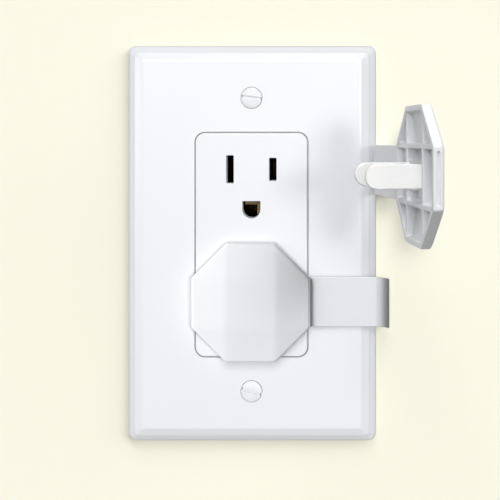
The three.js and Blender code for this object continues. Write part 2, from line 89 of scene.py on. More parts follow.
SCREW = {"radius": 3.15, "crown": 0.6, "rim": 0.12, "cone": 1.8, "shank": 1.65, "edge": 0.06}
SCREW_SLOT = {"width": 0.95, "half_length": 5.0, "depth": 0.5, "edge": 0.12}
SCREW_SEAT = {"clear": 0.1, "break": 0.1, "shank_clear": 0.25}
DOME_ANGLES = (0, 0.3, 0.6, 0.9, 1.15, 1.35, 1.5)
THREAD = {"pitch": 0.8, "depth": 0.28, "flank": (0.15, 0.35, 0.45), "end": 2.5}
SCREW_POINT = [(0.5, 0.3), (0.2, 0.0)]  # (share of the shank's radius, distance from the tip)

CAP_ACROSS = 34.9
CAP_SIDE = 14.6
CAP_RIM = 2.7  # height of the cap's side wall
CAP_DOME = 1.5  # rise of its faceted front
CAP_WALL = 1.5
CAP_SKIN = 1.3
CREASE = 0.75  # width over which two flats of the front meet, or the front meets the side
CAP_EDGES = {"back": 0.14, "upright": 0.4}  # the other edges of the side wall
RIB = 1.2
RIB_DROP = 0.25
INSIDE_CORNER = 0.5
POCKET = {"corner": 0.55, "lip": 0.18, "draft": 0.12, "floor": 0.4, "least": 0.1}
NOTCH = {"length": 12.6, "width": 0.8, "depth": 0.45, "from_rim": 1.25, "edge": 0.3}  # finger grip
PRONG = {"width": 6.0, "thick": 1.5, "length": 13.5, "root": 2.4, "edge": 0.28}
PRONG_HOLE = {"clear": 0.08, "deeper": 0.1, "edge": 0.1}
PRONG_BLOCK = {"inner": 1.9, "outer": 1.2, "margin": 1.1, "sunk": 0.8, "into_front": 0.5, "edge": 0.2}

STRAP_WIDTH = 14.6
STRAP_THICK = 0.9
STRAP_EDGE = 0.22
STRAP_END = {"thinner": 0.9, "narrower": 0.985, "gap": 0.06}  # rounds a band's two ends
HOOK_OUTER = 3.4
HOOK_TAIL = 5.4
HOOK_RUN = 0.6  # flat part of the hook past the hinge line, before its half turn
HOOK_SKEW = 0.35  # how far the lower hook slides down for each millimetre that it goes back
HOOK_BAR = {"width": 20.0, "thick": 1.6, "length": 2.8, "edge": 0.25}
LOWER_OVERLAP = 0.25  # of the lower strap with its cap
NECK_GAP = 0.75
NECK = {"overlap": 0.9, "into_cap": 0.3, "thinner": 0.8}
FOLD = {"lead": 0.9, "length": 2.2, "blend": 2.4}  # the open strap's bend at its hinge line
OPEN_BEND = math.radians(-5)  # how far the open cap is bent back on its strap

PAST = 2.0  # how far a cutter reaches past the surface that it cuts
OFF_PLANE = 0.01  # keeps the faces of two joined solids from coinciding
FINE = 10  # steps in the round corners of the plate and the face
WELD = 1e-4  # points nearer than this are one
CAD_WELD = 2e-3  # likewise in a CAD mesh
COPLANAR = math.radians(2)  # faces of a CAD mesh that meet at less than this are rejoined


def box_mm(node):
    """Lowest and highest corner of a CAD node, in millimetres."""
    low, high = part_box(node)
    return low / MM, high / MM


def joint(name):
    return next(j for j in frame["joints"] if j["name"] == name)


PLATE_LOW, PLATE_HIGH = box_mm("wall_plate")
CENTRE = (PLATE_LOW + PLATE_HIGH) / 2
PLATE_WIDTH = PLATE_HIGH.x - PLATE_LOW.x
PLATE_HEIGHT = PLATE_HIGH.z - PLATE_LOW.z
PLATE_FRONT = PLATE_LOW.y
FACE_LOW, FACE_HIGH = box_mm("receptacle_face")
FACE_WIDTH = FACE_HIGH.x - FACE_LOW.x
FACE_HEIGHT = FACE_HIGH.z - FACE_LOW.z
UPPER_HINGE = Vector(joint("upper_cap_swing")["pos_m"]) / MM
LOWER_HINGE = Vector(joint("lower_strap_swing")["pos_m"]) / MM
UPPER_NECK = Vector(joint("upper_cap_tilt")["pos_m"]) / MM
SOCKETS = (UPPER_HINGE.z, LOWER_HINGE.z)

# ---------------------------------------------------------------- outlines


def rectangle(width, height, x=0.0, z=0.0):
    quadrants = ((1, 1), (-1, 1), (-1, -1), (1, -1))
    return [(x + sx * width / 2, z + sz * height / 2) for sx, sz in quadrants]


def octagon(across, side):
    far, near = across / 2, side / 2
    half = [(far, -near), (far, near), (near, far), (-near, far)]
    return half + [(-x, -z) for x, z in half]


def inset(corners, distance):
    """A convex outline, drawn anticlockwise, moved inwards by a distance."""
    smaller = []
    count = len(corners)
    for i in range(count):
        before, here, after = (Vector(corners[(i + k) % count]) for k in (-1, 0, 1))
        first, second = (here - before).normalized(), (after - here).normalized()
        normals = Vector((-first.y, first.x)) + Vector((-second.y, second.x))
        scale = 2 / normals.length_squared
        smaller.append(tuple(here + normals * scale * distance))
    return smaller


def softened(corners, radius, steps=6):
    """A convex outline, drawn anticlockwise, with every corner rounded."""
    points = []
    count = len(corners)
    for i in range(count):
        before, here, after = (Vector(corners[(i + k) % count]) for k in (-1, 0, 1))
        back, ahead = (before - here).normalized(), (after - here).normalized()
        half = back.angle(ahead) / 2
        middle = here + (back + ahead).normalized() * (radius / math.sin(half))
        start = here + back * (radius / math.tan(half)) - middle
        turn = math.pi - 2 * half
        for k in range(steps + 1):
            angle = turn * k / steps
            cos, sin = math.cos(angle), math.sin(angle)
            x = middle.x + start.x * cos - start.y * sin
            z = middle.y + start.x * sin + start.y * cos
            points.append((x, z))
    return points


def ring(outline, y):
    return [(x, y, z) for x, z in outline]


def quarter(radius, steps):
    """(inset, drop) pairs round a quarter circle, from the side of an edge to its top."""
    angles = [math.pi / 2 * k / steps for k in range(steps + 1)]
    return [(radius * (1 - math.cos(a)), radius * (1 - math.sin(a))) for a in angles]


def mouth(corners, radius, lip, surface, inwards):
    """The rings of a cutter where it enters a surface and leaves a rounded lip.

    Inwards is the direction of the cut along Y, as 1 or -1.
    """
    rings = [ring(softened(inset(corners, -lip), radius + lip), surface - inwards * PAST)]
    for i, d in reversed(quarter(lip, 3)):
        rings.append(ring(softened(inset(corners, -i), radius + i), surface + inwards * d))
    return rings


# ---------------------------------------------------------------- meshes


def mesh_object(name, vertices, faces):
    mesh = bpy.data.meshes.new(name)
    mesh.from_pydata(vertices, [], faces)
    work = bmesh.new()
    work.from_mesh(mesh)
    bmesh.ops.remove_doubles(work, verts=work.verts, dist=WELD)
    bmesh.ops.recalc_face_normals(work, faces=work.faces)
    work.to_mesh(mesh)
    work.free()
    made = bpy.data.objects.new(name, mesh)
    bpy.context.scene.collection.objects.link(made)
    return made


def loft(name, rings, closed=False):
    """Quads between rings of equal length, capped at both ends unless the last ring meets the first."""
    size, count = len(rings[0]), len(rings)
    faces = []
    for r in range(count if closed else count - 1):
        a, b = r * size, (r + 1) % count * size
        faces += [(a + i, a + (i + 1) % size, b + (i + 1) % size, b + i) for i in range(size)]
    if not closed:
        faces.append(tuple(range(size - 1, -1, -1)))
        faces.append(tuple(range((count - 1) * size, count * size)))
    return mesh_object(name, [point for each in rings for point in each], faces)


def turned(name, profile, segments):
    """A solid turned about the Y axis from (radius, y) pairs."""
    angles = [2 * math.pi * k / segments for k in range(segments)]
    least = 1e-3  # keeps the middle of each end open for the loft
    rings = []
    for radius, y in profile:
        wide = max(radius, least)
        rings.append([(wide * math.cos(a), y, wide * math.sin(a)) for a in angles])
    return loft(name, rings)


def soft_box(name, low, high, edge):
    """A box with rounded edges, for blocks and for cutters."""
    middle = [(a + b) / 2 for a, b in zip(low, high)]
    outline = rectangle(high[0] - low[0], high[2] - low[2], middle[0], middle[2])
    sharpest = 0.02
    front, back = [], []
    for i, d in quarter(edge, 3):
        corners = softened(inset(outline, i), max(edge - i, sharpest))
        front.insert(0, ring(corners, low[1] + d))
        back.append(ring(corners, high[1] - d))
    return loft(name, front + back)


def moved(piece, matrix):
    piece.data.transform(matrix)
    return piece


def shifted(piece, z, x=0.0):
    return moved(piece, Matrix.Translation((x, 0.0, z)))


def joined(pieces):
    """Several separate meshes as one object."""
    work = bmesh.new()
    for each in pieces:
        work.from_mesh(each.data)
    first = pieces[0]
    work.to_mesh(first.data)
    work.free()
    for each in pieces[1:]:
        bpy.data.objects.remove(each)
    return first


def applied(piece):
    """The piece with its modifiers made permanent."""
    graph = bpy.context.evaluated_depsgraph_get()
    graph.update()
    piece.data = bpy.data.meshes.new_from_object(piece.evaluated_get(graph))
    piece.modifiers.clear()
    return piece


def combined(piece, others, operation="DIFFERENCE"):
    tool = joined(others)
    modifier = piece.modifiers.new("solid", "BOOLEAN")
    modifier.operation = operation
    modifier.object = tool
    modifier.solver = "EXACT"
    applied(piece)
    bpy.data.objects.remove(tool)
    return piece


def bevelled(piece, width, angle):
    """The piece with its edges broken where its faces meet at more than an angle."""
    modifier = piece.modifiers.new("bevel", "BEVEL")
    modifier.width = width
    modifier.segments = 2
    modifier.limit_method = "ANGLE"
    modifier.angle_limit = math.radians(angle)
    modifier.use_clamp_overlap = True
    return applied(piece)


def finished(piece, slot, body=None, stands_for=(), sharp=32, material=None):
    """Scales the piece to metres, shades it, gives it its finish and lets it ride."""
    piece.data.transform(Matrix.Scale(MM, 4))
    piece.data.materials.clear()
    piece.data.materials.append(MATERIALS[material or slot])
    for face in piece.data.polygons:
        face.use_smooth = True
        face.material_index = 0
    piece.data.set_sharp_from_angle(angle=math.radians(sharp))
    weighted = piece.modifiers.new("normals", "WEIGHTED_NORMAL")
    weighted.keep_sharp = True
    if body:
        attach(piece, body)
    if stands_for:
        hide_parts(*stands_for)


# ---------------------------------------------------------------- materials

# Noise scales, in features per metre.
CLOUDS = 38.0
AGEING = 14.0
FLOW_MARKS = 240.0
HANDLING = 32.0
ORANGE_PEEL = 1500.0
SCUFFS = 420.0
TARNISH = 160.0
SPECKS = 1400.0
DRAWN_GRAIN = 900.0
PAINT_CLOUDS = 300.0
PAINT_CHIPS = 1300.0
PAINT_PEEL = 1800.0
PAINT_GLOSS = 500.0
WALL_TONE = 9.0
WALL_ROLLER = 900.0
FLOOR_TONE = 3.0

# How near another surface has to be to make a crease, in metres.
# The plastic and metal ones are darkened as painted shade, the plastic ones with a little dirt too.
NARROW_CREASE = 0.0009
PLASTIC_CREASE = 0.0012
METAL_HOLLOW = 0.006


class Nodes:
    """A short way to write a material's node tree."""

    def __init__(self, name):
        self.material = bpy.data.materials.new(name)
        self.material.use_nodes = True
        self.tree = self.material.node_tree
        self.shader = self.tree.nodes["Principled BSDF"]
        self.place = self.add("ShaderNodeTexCoord").outputs["Object"]

    def add(self, kind, links=None, **settings):
        node = self.tree.nodes.new(kind)
        for key, value in settings.items():
            setattr(node, key, value)
        for socket, value in (links or {}).items():
            self.set(node.inputs[socket], value)
        return node

    def set(self, socket, value):
        if isinstance(value, bpy.types.NodeSocket):
            self.tree.links.new(value, socket)
        else:
            socket.default_value = value

    def noise(self, scale, detail, roughness=0.55, stretch=None):
        where = self.place
        if stretch:
            where = self.add("ShaderNodeMapping", {"Vector": where, "Scale": stretch}).outputs["Vector"]
        links = {"Vector": where, "Scale": scale, "Detail": detail, "Roughness": roughness}
        return self.add("ShaderNodeTexNoise", links).outputs["Fac"]

    def between(self, factor, low, high, start=0.3, end=0.7):
        """A value that runs from low to high as the factor runs from start to end."""
        links = {"Value": factor, "From Min": start, "From Max": end, "To Min": low, "To Max": high}
        return self.add("ShaderNodeMapRange", links).outputs["Result"]

    def mix(self, factor, first, second, blend="MIX"):
        node = self.add("ShaderNodeMix", data_type="RGBA", blend_type=blend)
        self.set(node.inputs[0], factor)
        self.set(node.inputs[6], first)
        self.set(node.inputs[7], second)
        return node.outputs[2]

    def sum(self, *values, operation="ADD"):
        total = values[0]
        for value in values[1:]:
            node = self.add("ShaderNodeMath", operation=operation)
            self.set(node.inputs[0], total)
            self.set(node.inputs[1], value)
            total = node.outputs[0]
        return total

    def creases(self, reach):
        """1 on open surfaces, down to 0 deep in a crease."""
        node = self.add("ShaderNodeAmbientOcclusion", {"Distance": reach}, samples=6)
        return node.outputs["AO"]

    def held_back(self, colour, share):
        """The colour as the camera sees it, but throwing only a share of it onto other pieces."""
        seen = self.add("ShaderNodeLightPath").outputs["Is Camera Ray"]
        return self.mix(seen, self.mix(1.0, colour, rgb(share, share, share), "MULTIPLY"), colour)

    def bump(self, height, strength, distance):
        links = {"Height": height, "Strength": strength, "Distance": distance}
        self.set(self.shader.inputs["Normal"], self.add("ShaderNodeBump", links).outputs["Normal"])

    def finish(self, **inputs):
        for name, value in inputs.items():
            self.set(self.shader.inputs[name.replace("_", " ")], value)
        return self.material


def rgb(red, green, blue, share=1.0):
    return (red * share, green * share, blue * share, 1.0)


def plastic(name, colour, roughness, peel, flow=None, soft=0.0, crease_dirt_and_shade=0.88, index=1.48, wear=1.0):
    """Moulded plastic: faint clouding, uneven gloss, orange peel, and creases darkened by a little dirt
    and by painted shade.

    Flow stretches the gloss the way the plastic ran. Wear scales how much the gloss varies.
    """
    nodes = Nodes(name)
    cloud = nodes.between(nodes.noise(CLOUDS, 2.0), 0.0, 1.0, 0.2, 0.8)
    body = nodes.mix(cloud, rgb(*colour, 0.994), rgb(*colour, 1.004))
    aged = nodes.between(nodes.noise(AGEING, 1.0), 0.0, 0.05, 0.4, 0.8)
    body = nodes.mix(aged, body, rgb(colour[0], colour[1] * 0.99, colour[2] * 0.96))
    # painted shade with a little dirt: creases and contact lines between parts are darkened
    dirt_and_shade_colour = nodes.mix(1.0, body, rgb(crease_dirt_and_shade, crease_dirt_and_shade * 0.985, crease_dirt_and_shade * 0.965), "MULTIPLY")
    open_surface = nodes.between(nodes.creases(PLASTIC_CREASE), 0.0, 1.0, 0.15, 0.85)
    body = nodes.mix(open_surface, dirt_and_shade_colour, body)

    marks = nodes.noise(FLOW_MARKS, 5.0, stretch=flow)
    gloss = nodes.between(marks, roughness - 0.02 * wear, roughness + 0.03 * wear)
    handled = nodes.between(nodes.noise(HANDLING, 2.0), 0.0, 0.05 * wear, 0.35, 0.8)
    streaks = nodes.noise(SCUFFS, 6.0, 0.7, stretch=(1.0, 1.0, 9.0))
    scuffed = nodes.between(streaks, 0.0, 0.03 * wear, 0.64, 0.95)
    nodes.bump(nodes.noise(ORANGE_PEEL, 2.0), peel, 0.0002)
    if soft:
        depths = (0.0015, 0.0014, 0.0012)
        nodes.finish(Subsurface_Weight=soft, Subsurface_Radius=depths, Subsurface_Scale=1.0)
    return nodes.finish(Base_Color=body, Roughness=nodes.sum(gloss, handled, scuffed), IOR=index)


def metal(name, colour, roughness, tarnish, painted_hollow_shade=None):
    """Stamped or turned metal: drawn grain, tarnish in patches and fine specks.

    The last argument gives the range of openness, from deep to open, over which painted shade fades
    out; deep in a hollow the metal is painted near black.
    """
    nodes = Nodes(name)
    patches = nodes.between(nodes.noise(TARNISH, 5.0, 0.6), 0.0, 0.5, 0.45, 0.75)
    base = nodes.mix(patches, rgb(*colour), rgb(*tarnish))
    specks = nodes.between(nodes.noise(SPECKS, 4.0), 0.0, 0.25, 0.55, 0.8)
    base = nodes.mix(specks, base, rgb(*tarnish, 0.8))
    if painted_hollow_shade:
        # painted shade: the metal deep in hollows, such as behind the slots, is darkened to near black
        open_surface = nodes.between(nodes.creases(METAL_HOLLOW), 0.0, 1.0, *painted_hollow_shade)
        base = nodes.mix(open_surface, rgb(*tarnish, 0.02), base)
    grain = nodes.noise(DRAWN_GRAIN, 4.0, 0.6, stretch=(1.0, 1.0, 12.0))
    gloss = nodes.between(grain, roughness - 0.08, roughness + 0.12)
    nodes.bump(grain, 0.18, 0.0001)
    rough = nodes.sum(gloss, nodes.between(patches, 0.0, 0.18, 0.0, 1.0))
    return nodes.finish(Base_Color=base, Roughness=rough, Metallic=1.0)


def enamelled(name, colour, roughness, bare):
    """Painted metal whose paint has gone where a screwdriver bites."""
    nodes = Nodes(name)
    cloud = nodes.between(nodes.noise(PAINT_CLOUDS, 4.0), 0.0, 1.0)
    paint = nodes.mix(cloud, rgb(*colour, 0.98), rgb(*colour, 1.0))
    inside = nodes.between(nodes.creases(NARROW_CREASE), 1.0, 0.0, 0.25, 0.6)
    chips = nodes.between(nodes.noise(PAINT_CHIPS, 5.0, 0.65), 0.0, 1.0, 0.56, 0.64)
    worn = nodes.sum(inside, chips, 0.55, operation="MULTIPLY")
    gloss = nodes.between(nodes.noise(PAINT_GLOSS, 3.0), roughness - 0.05, roughness + 0.06)
    nodes.bump(nodes.noise(PAINT_PEEL, 2.0), 0.06, 0.0002)
    return nodes.finish(
        Base_Color=nodes.mix(worn, paint, rgb(*bare)),
        Roughness=gloss,
        Metallic=nodes.between(worn, 0.0, 0.6, 0.0, 1.0),
    )


PLATE_WHITE = (0.905, 0.915, 0.95)
FACE_WHITE = (0.9, 0.91, 0.945)
CAP_WHITE = (0.86, 0.87, 0.895)
STRAP_WHITE = (0.85, 0.86, 0.885)
PRONG_WHITE = (0.93, 0.93, 0.925)
PAINT_WHITE = (0.89, 0.9, 0.93)
BODY_BLACK = (0.028, 0.025, 0.023)
# The plate and face creases are darkened strongly: painted contact shade round the caps, screws and the
# face, with a little dirt.
GLOSSY = {"crease_dirt_and_shade": 0.55, "index": 1.75, "wear": 0.25}
# painted shade: how deep in a hollow the brass and nickel turn near black
PAINTED_SHADE_WHEN_DEEP = (0.3, 0.8)

MATERIALS = {
    "plate": plastic("plate_plastic", PLATE_WHITE, 0.3, 0.02, **GLOSSY),
    "face": plastic("face_plastic", FACE_WHITE, 0.31, 0.03, **GLOSSY),
    "body": plastic("body_plastic", BODY_BLACK, 0.55, 0.3, crease_dirt_and_shade=0.6),
    "cap": plastic("cap_plastic", CAP_WHITE, 0.36, 0.07, flow=(1.0, 1.0, 3.0), soft=0.08),
    "strap": plastic("strap_plastic", STRAP_WHITE, 0.4, 0.12, flow=(1.0, 1.0, 8.0), soft=0.08),
    "prong": plastic("prong_plastic", PRONG_WHITE, 0.3, 0.05, flow=(0.3, 1.0, 1.0), soft=0.05),
    "painted_screw": enamelled("screw_enamel", PAINT_WHITE, 0.28, (0.55, 0.55, 0.56)),
    "steel": metal("zinc_steel", (0.62, 0.64, 0.67), 0.38, (0.42, 0.42, 0.4)),
    "brass": metal("stamped_brass", (0.82, 0.6, 0.25), 0.3, (0.45, 0.27, 0.1), PAINTED_SHADE_WHEN_DEEP),
    "ground_lip": metal("worn_brass", (0.8, 0.62, 0.3), 0.45, (0.5, 0.3, 0.12), (-0.2, 0.3)),
    "nickel": metal("nickel_plate", (0.75, 0.73, 0.7), 0.25, (0.5, 0.47, 0.43), PAINTED_SHADE_WHEN_DEEP),
    "green_screw": metal("green_zinc", (0.08, 0.36, 0.16), 0.3, (0.05, 0.2, 0.1)),
}

# ---------------------------------------------------------------- wall plate and its screws


def plate_ring(distance, height, corner):
    """The plate's outline, moved inwards and raised off the wall."""
    radius = max(corner - PLATE_CORNER["taper"] * distance, PLATE_CORNER["least"])
    outline = inset(rectangle(PLATE_WIDTH, PLATE_HEIGHT), distance)
    return ring(softened(outline, radius, FINE), -height)


def opening_ring(grow, height):
    """The outline of the opening for the face, made larger and raised off the wall."""
    opening = rectangle(FACE_WIDTH + 2 * FACE_GAP, FACE_HEIGHT + 2 * FACE_GAP)
    return ring(softened(inset(opening, -grow), FACE_CORNER + FACE_GAP + grow, FINE), -height)


def screw_seat(z):
    """A cutter for the countersunk hole of a plate screw."""
    rim = SCREW["radius"] + SCREW_SEAT["clear"]
    hole = SCREW["shank"] + SCREW_SEAT["shank_clear"]
    broken = SCREW_SEAT["break"]
    profile = [
        (rim + broken, PLATE_FRONT - PAST), (rim + broken, PLATE_FRONT), (rim, PLATE_FRONT + broken),
        (hole, PLATE_FRONT + SCREW["cone"]), (hole, PAST),
    ]
    return shifted(turned("cutter", profile, 64), z)


def strap_notch(z):
    """A cutter for the right rim, so that a strap's tail passes under the plate."""
    half = STRAP_WIDTH / 2 + STRAP_NOTCH["clear"]
    right = PLATE_WIDTH / 2
    low = (right - STRAP_NOTCH["reach"], -STRAP_THICK - STRAP_NOTCH["above"], z - half)
    return soft_box("cutter", low, (right + PAST, PAST, z + half), STRAP_NOTCH["edge"])


def wall_plate():
    """One skin: up the rolled edge, over the front, into the opening and back along the hollow."""
    depth = -PLATE_FRONT
    rings = [plate_ring(i, height, PLATE_CORNER["radius"]) for i, height in PLATE_EDGE]
    rings += [opening_ring(i, depth - d) for i, d in reversed(quarter(OPENING["lip"], 3))]
    rings += [opening_ring(0.0, depth - OPENING["depth"])]
    rings += [plate_ring(i, height, HOLLOW_CORNER) for i, height in reversed(PLATE_HOLLOW)]
    plate = loft("wall_plate_body", rings, closed=True)
    cutters = []
    for node in ("plate_screw_upper", "plate_screw_lower"):
        low, high = box_mm(node)
        cutters.append(screw_seat((low.z + high.z) / 2 - CENTRE.z))
    cutters += [strap_notch(z - CENTRE.z) for z in SOCKETS]
    combined(plate, cutters)
    shifted(plate, CENTRE.z, CENTRE.x)
    finished(plate, "plate", "outlet", ["wall_plate"], sharp=40)


def plate_screw(node, slot_angle):
    """An oval-head screw with a threaded shank, its slot turned by an angle in degrees."""
    low, high = box_mm(node)
    radius, shank = SCREW["radius"], SCREW["shank"]
    core = shank - THREAD["depth"]
    profile = [(radius * math.sin(a), PLATE_FRONT - SCREW["crown"] * math.cos(a)) for a in DOME_ANGLES]
    y = PLATE_FRONT + SCREW["cone"]
    profile += [(radius, PLATE_FRONT + SCREW["rim"]), (core, y)]
    while y < high.y - THREAD["end"]:
        profile += [(r, y + step) for r, step in zip((core, shank, shank), THREAD["flank"])]
        y += THREAD["pitch"]
    profile += [(core, y)] + [(shank * share, high.y - back) for share, back in SCREW_POINT]
    screw = turned(node + "_body", profile, 56)
    long, half = SCREW_SLOT["half_length"], SCREW_SLOT["width"] / 2
    start, end = (-long, PLATE_FRONT - PAST, -half), (long, PLATE_FRONT + SCREW_SLOT["depth"], half)
    slot = soft_box("cutter", start, end, SCREW_SLOT["edge"])
    combined(screw, [moved(slot, Matrix.Rotation(math.radians(slot_angle), 4, "Y"))])
    bevelled(screw, SCREW["edge"], 50)
    shifted(screw, (low.z + high.z) / 2)
    finished(screw, "painted_screw", "outlet", [node], sharp=50)


# ---------------------------------------------------------------- receptacle


def hole_cutter(outline, radius, lip):
    """A straight hole through the face with a rounded lip at its front."""
    rings = mouth(outline, radius, lip, FACE_LOW.y, 1)
    rings.append(ring(softened(outline, radius), FACE_HIGH.y + PAST))
    return loft("cutter", rings)


def ground_outline(z):
    """The D-shaped ground hole: flat on top and round below."""
    radius = GROUND_HOLE["radius"]
    top = z + GROUND_HOLE["top"]
    steps = 12
    angles = [math.pi + math.pi * k / steps for k in range(steps)]
    below = [(radius * math.cos(a), z + radius * math.sin(a)) for a in angles]
    return [(radius, z), (radius, top), (-radius, top)] + below


def receptacle_face():
    """The face, with a skirt below the plate's front, its blade slots and its ground holes."""
    outline = rectangle(FACE_WIDTH, FACE_HEIGHT, 0, CENTRE.z)
    wider = FACE_GAP - FACE_SKIRT["clear"]
    skirt = softened(inset(outline, -wider), FACE_CORNER + wider, FINE)
    step = PLATE_FRONT + FACE_SKIRT["depth"]
    rings = [ring(skirt, FACE_HIGH.y), ring(skirt, step)]
    rings.append(ring(softened(outline, FACE_CORNER, FINE), step))
    for i, d in quarter(FACE_ROUND, 5):
        rings.append(ring(softened(inset(outline, i), FACE_CORNER - i, FINE), FACE_LOW.y + d))
    face = loft("receptacle_face_body", rings)
    cutters = []
    for z in SOCKETS:
        for side, length in BLADE_SLOT_LENGTHS.items():
            slot = rectangle(BLADE_SLOT["width"], length, side * BLADE_PITCH / 2, z)
            cutters.append(hole_cutter(slot, BLADE_SLOT["corner"], BLADE_SLOT["lip"]))
        hole = ground_outline(z - GROUND_DROP)
        cutters.append(hole_cutter(hole, GROUND_HOLE["corner"], GROUND_HOLE["lip"]))
    combined(face, cutters)
    finished(face, "face", "outlet", ["receptacle_face"], sharp=40)


def ground_lips():
    """The brass that shows inside the ground holes."""
    lips = []
    for z in SOCKETS:
        top = z - GROUND_DROP + GROUND_LIP["top"]
        for left, right, front, height in GROUND_LIPS:
            high = (right, GROUND_LIP["back"], top)
            lips.append(soft_box("lip", (left, front, top - height), high, GROUND_LIP["edge"]))
    piece = joined(lips)
    piece.name = "ground_contact_lips"
    finished(piece, "brass", "outlet", material="ground_lip")


def refined(node, slot, edge=0.12):
    """A copy of a CAD node with its flat faces rejoined and its edges broken."""
    work = bmesh.new()
    work.from_mesh(frame["nodes"][node].data)
    bmesh.ops.transform(work, matrix=Matrix.Scale(1 / MM, 4), verts=work.verts)
    bmesh.ops.remove_doubles(work, verts=work.verts, dist=CAD_WELD)
    bmesh.ops.dissolve_limit(work, angle_limit=COPLANAR, verts=work.verts, edges=work.edges)
    mesh = bpy.data.meshes.new(node + "_body")
    work.to_mesh(mesh)
    work.free()
    piece = bpy.data.objects.new(node + "_body", mesh)
    bpy.context.scene.collection.objects.link(piece)
    bevelled(piece, edge, 32)
    finished(piece, slot, "outlet", [node], sharp=34)


def receptacle():
    receptacle_face()
    refined("receptacle_body", "body", 0.2)
    refined("mounting_yoke", "steel", 0.15)
    refined("ground_contact_strap", "brass")
    ground_lips()
    for line, screw_finish in (("hot", "brass"), ("neutral", "nickel")):
        refined(f"{line}_contact_bus", "brass", 0.1)
        for level in ("upper", "lower"):
            refined(f"{line}_terminal_screw_{level}", screw_finish)
            refined(f"{line}_wire_clamp_{level}", "steel")
    refined("ground_terminal_screw", "green_screw")
    for level in ("upper", "lower"):
        for side in ("left", "right"):
            refined(f"assembly_rivet_{level}_{side}", "steel", 0.1)


# ---------------------------------------------------------------- caps


def front_height(x, z):
    """How far the cap's front stands in front of its rim: nine flats that meet in creases."""
    side = CAP_SIDE / 2
    top = CAP_RIM + CAP_DOME
    fall = CAP_DOME / (CAP_ACROSS / 2 - side)
    corner_fall = CAP_DOME / ((CAP_ACROSS / 2 + side) / math.sqrt(2) - math.sqrt(2) * side)
    past_corner = (abs(x) + abs(z)) / math.sqrt(2) - math.sqrt(2) * side
    return top - max(0.0, fall * (abs(x) - side), fall * (abs(z) - side), corner_fall * past_corner)


def cap_outside(name):
    """The cap's outer skin as a closed solid: rim at y = 0, front towards -Y, edges broken."""
    outline = octagon(CAP_ACROSS, CAP_SIDE)
    square = rectangle(CAP_SIDE, CAP_SIDE)
    points = ring(outline, 0.0) + ring(outline, -CAP_RIM) + ring(square, -CAP_RIM - CAP_DOME)
    faces = [tuple(range(8)), (16, 17, 18, 19)]
    faces += [(i, (i + 1) % 8, 8 + (i + 1) % 8, 8 + i) for i in range(8)]
    # The outline's corners 2k and 2k + 1 lie on either side of a corner of the square.
    for side in range(4):
        corner, following = 16 + (side + 3) % 4, 16 + side
        faces.append((8 + 2 * side, 8 + 2 * side + 1, following, corner))
        faces.append((8 + 2 * side + 1, 8 + (2 * side + 2) % 8, following))
    cover = mesh_object(name, points, faces)

    weights = cover.data.attributes.new("bevel_weight_edge", "FLOAT", "EDGE")
    for i, edge in enumerate(cover.data.edges):
        on_back = [cover.data.vertices[v].co.y > -CAP_RIM / 2 for v in edge.vertices]
        width = CREASE
        if any(on_back):
            width = CAP_EDGES["back"] if all(on_back) else CAP_EDGES["upright"]
        weights.data[i].value = width / CREASE
    modifier = cover.modifiers.new("bevel", "BEVEL")
    modifier.width = CREASE
    modifier.segments = 4
    modifier.limit_method = "WEIGHT"
    return applied(cover)


def pocket(corners):
    """A cutter for one pocket of the cap's back: rounded lip, slight draft and rounded floor."""
    radius = POCKET["corner"]
    rings = mouth(corners, radius, POCKET["lip"], -RIB_DROP, -1)
    for i, d in quarter(POCKET["floor"], 3):
        outline = softened(inset(corners, POCKET["draft"] + i), max(radius - i, POCKET["least"]))
        rings.append([(x, CAP_SKIN + d - front_height(x, z), z) for x, z in outline])
    return loft("cutter", rings)


def all_round(corners):
    """An outline and its copies at each further quarter of a turn."""
    quarters = ((1, 0), (0, 1), (-1, 0), (0, -1))  # (cosine, sine)
    return [[(x * c - z * s, x * s + z * c) for x, z in corners] for c, s in quarters]


def pocket_outlines():
    """The nine pockets between the ribs and the side wall."""
    near = CAP_SIDE / 2 - RIB / 2
    far = CAP_SIDE / 2 + RIB / 2
    wall_x = CAP_ACROSS / 2 - CAP_WALL
    diagonal = CAP_ACROSS / 2 + CAP_SIDE / 2 - CAP_WALL * math.sqrt(2)
    centre = rectangle(2 * near, 2 * near)
    right = [(wall_x, -near), (wall_x, near), (far, near), (far, -near)]
    corner = [(far, far), (diagonal - far, far), (far, diagonal - far)]
    return [centre] + all_round(right) + all_round(corner)


def prong_block(end):
    """The block inside the cap that holds the prong at one end."""
    x = end * BLADE_PITCH / 2
    near, far = sorted((x - end * PRONG_BLOCK["inner"], x + end * PRONG_BLOCK["outer"]))
    half = PRONG["width"] / 2 + PRONG_BLOCK["margin"]
    low = (near, -CAP_RIM - PRONG_BLOCK["into_front"], -half)
    return soft_box("block", low, (far, -PRONG_BLOCK["sunk"], half), PRONG_BLOCK["edge"])


def prong_hole(end):
    """A cutter for the socket of the prong at one end."""
    x = end * BLADE_PITCH / 2
    half = PRONG["thick"] / 2 + PRONG_HOLE["clear"]
    tall = PRONG["width"] / 2 + PRONG_HOLE["clear"]
    low = (x - half, -PRONG["root"] - PRONG_HOLE["deeper"], -tall)
    return soft_box("hole", low, (x + half, PAST, tall), PRONG_HOLE["edge"])


def finger_grip():
    """A cutter for the groove in the side of the cap that is opposite the strap."""
    left = -CAP_ACROSS / 2
    half, long = NOTCH["width"] / 2, NOTCH["length"] / 2
    low = (left - PAST, -NOTCH["from_rim"] - half, -long)
    high = (left + NOTCH["depth"], -NOTCH["from_rim"] + half, long)
    return soft_box("grip", low, high, NOTCH["edge"])


